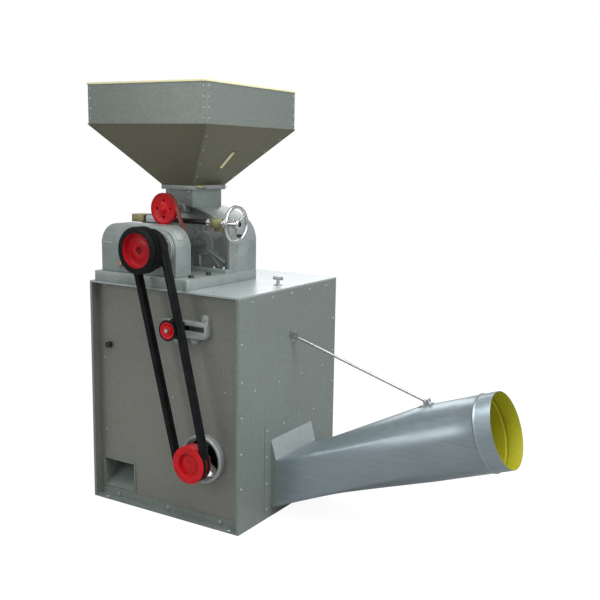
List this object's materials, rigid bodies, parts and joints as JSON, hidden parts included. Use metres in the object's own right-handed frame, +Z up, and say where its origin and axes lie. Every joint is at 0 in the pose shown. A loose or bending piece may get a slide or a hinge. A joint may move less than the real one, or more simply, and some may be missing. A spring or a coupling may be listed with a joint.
{
  "type": "coffee huller",
  "caption": "Belt-driven coffee huller with a rubber-roll hulling head under a square hopper, on a sheet-metal cabinet with a bean outlet and a husk fan that blows into a sloping duct",
  "frame": {"origin": "on the floor in the middle of the cabinet, at the centre of its four anchor holes", "axes": "+X towards the exhaust duct, +Y from the belts to the back, +Z up"},
  "size_m": [1.5024, 0.716, 1.484],
  "materials": {
    "hammered_paint": "grey-green hammered enamel, semi-gloss",
    "duct_paint": "silver-blue enamel on rolled sheet, smooth",
    "cast_paint": "grey-green enamel on iron castings, slightly pebbled",
    "red_paint": "glossy red enamel",
    "machined_steel": "turned and oiled steel",
    "painted_steel_wheel": "dull grey enamel on welded blades",
    "cast_core": "bare machined cast iron",
    "roll_rubber": "pale ground roll rubber",
    "belt_rubber": "black fabric-faced V-belt rubber",
    "belt_leather": "red-brown belt leather, waxed",
    "brass": "dull cast brass, lightly tarnished",
    "chrome": "polished chrome plate",
    "zinc_steel": "zinc-plated steel",
    "black_grip": "polished black phenolic"
  },
  "bodies": {
    "cabinet": {"base_angles": "hammered_paint", "inner_frame": "hammered_paint", "front_panel": "hammered_paint", "back_panel": "hammered_paint", "left_panel": "hammered_paint", "right_panel": "hammered_paint", "top_panel": "hammered_paint", "outlet_chute": "hammered_paint", "receiving_funnel": "hammered_paint", "deflector_bush": "brass", "fan_housing": "hammered_paint", "fan_inlet_ring": "cast_paint", "rear_fan_bearing": "cast_paint", "head_plinth": "cast_paint", "head_fasteners": "zinc_steel", "gear_case": "cast_paint", "gear_case_cover": "cast_paint", "case_bearing_cap": "cast_paint", "roll_chamber": "cast_paint", "front_end_wall": "cast_paint", "rear_end_wall": "cast_paint", "main_bearings": "cast_paint", "feed_throat": "cast_paint", "hopper_cone": "hammered_paint", "hopper_band": "hammered_paint", "screw_bearing_block": "brass", "idler_bracket": "cast_paint", "v_belts": "belt_rubber", "flat_belt": "belt_leather", "exhaust_duct": "duct_paint", "duct_collar": "hammered_paint", "duct_strut": "zinc_steel", "strut_bracket": "zinc_steel", "duct_clip": "zinc_steel", "top_bolt": "zinc_steel"},
    "fan_rotor": {"fan_shaft": "machined_steel", "fan_impeller": "painted_steel_wheel", "fan_pulley": "red_paint"},
    "main_rotor": {"main_shaft": "machined_steel", "main_pulley": "red_paint", "drive_gear": "machined_steel", "fast_roll_core": "cast_core", "fast_roll_rubber": "roll_rubber", "feed_drive_pulley": "machined_steel"},
    "slow_carriage": {"slow_bearing_blocks": "machined_steel", "gap_yoke": "cast_paint", "gap_nut": "brass"},
    "slow_rotor": {"slow_shaft": "machined_steel", "slow_roll_core": "cast_core", "slow_roll_rubber": "roll_rubber", "driven_gear": "machined_steel"},
    "gap_handwheel": {"gap_screw": "chrome", "handwheel": "chrome", "handwheel_knob": "black_grip"},
    "feed_rotor": {"feed_roller": "machined_steel", "feed_pulley": "red_paint"},
    "gate": {"feed_gate": "machined_steel"},
    "idler_slide_block": {"idler_block": "machined_steel"},
    "idler_rotor": {"idler_pulley": "red_paint"},
    "deflector": {"deflector_plate": "machined_steel"}
  },
  "joints": [
    {"name": "main_shaft_spin", "type": "hinge", "parent": "cabinet", "child": "main_rotor", "pos_m": [-0.018, -0.347, 0.934], "axis": [0, 1, 0], "continuous": true},
    {"name": "roll_gap_slide", "type": "slide", "parent": "cabinet", "child": "slow_carriage", "axis": [-1, 0, 0], "range_m": [0, 0.004]},
    {"name": "slow_roll_spin", "type": "hinge", "parent": "slow_carriage", "child": "slow_rotor", "pos_m": [-0.13366, -0.057, 0.92], "axis": [0, 1, 0], "continuous": true},
    {"name": "fan_spin", "type": "hinge", "parent": "cabinet", "child": "fan_rotor", "pos_m": [0.161, -0.347, 0.23], "axis": [0, 1, 0], "continuous": true},
    {"name": "feed_spin", "type": "hinge", "parent": "cabinet", "child": "feed_rotor", "pos_m": [-0.094, -0.174, 1.057], "axis": [0, 1, 0], "continuous": true},
    {"name": "idler_slide", "type": "slide", "parent": "cabinet", "child": "idler_slide_block", "axis": [1, 0, 0], "range_m": [-0.035, 0]},
    {"name": "idler_spin", "type": "hinge", "parent": "idler_slide_block", "child": "idler_rotor", "pos_m": [0.077, -0.347, 0.675], "axis": [0, 1, 0], "continuous": true},
    {"name": "handwheel_turn", "type": "hinge", "parent": "cabinet", "child": "gap_handwheel", "pos_m": [0.166, -0.11, 1.014], "axis": [1, 0, 0], "range_deg": [0, 720]},
    {"name": "feed_gate_slide", "type": "slide", "parent": "cabinet", "child": "gate", "axis": [1, 0, 0], "range_m": [-0.018, 0.09]},
    {"name": "deflector_turn", "type": "hinge", "parent": "cabinet", "child": "deflector", "pos_m": [-0.265, -0.262, 0.57], "axis": [0, 1, 0], "range_deg": [-20, 25]}
  ],
  "couplings": [
    {"joint": "slow_roll_spin", "follows": "main_shaft_spin", "ratio": -0.70588},
    {"joint": "fan_spin", "follows": "main_shaft_spin", "ratio": 1.0684},
    {"joint": "feed_spin", "follows": "main_shaft_spin", "ratio": 0.41509},
    {"joint": "idler_spin", "follows": "main_shaft_spin", "ratio": 1.7123},
    {"joint": "roll_gap_slide", "follows": "handwheel_turn", "m_per_rad": 0.00031831}
  ]
}
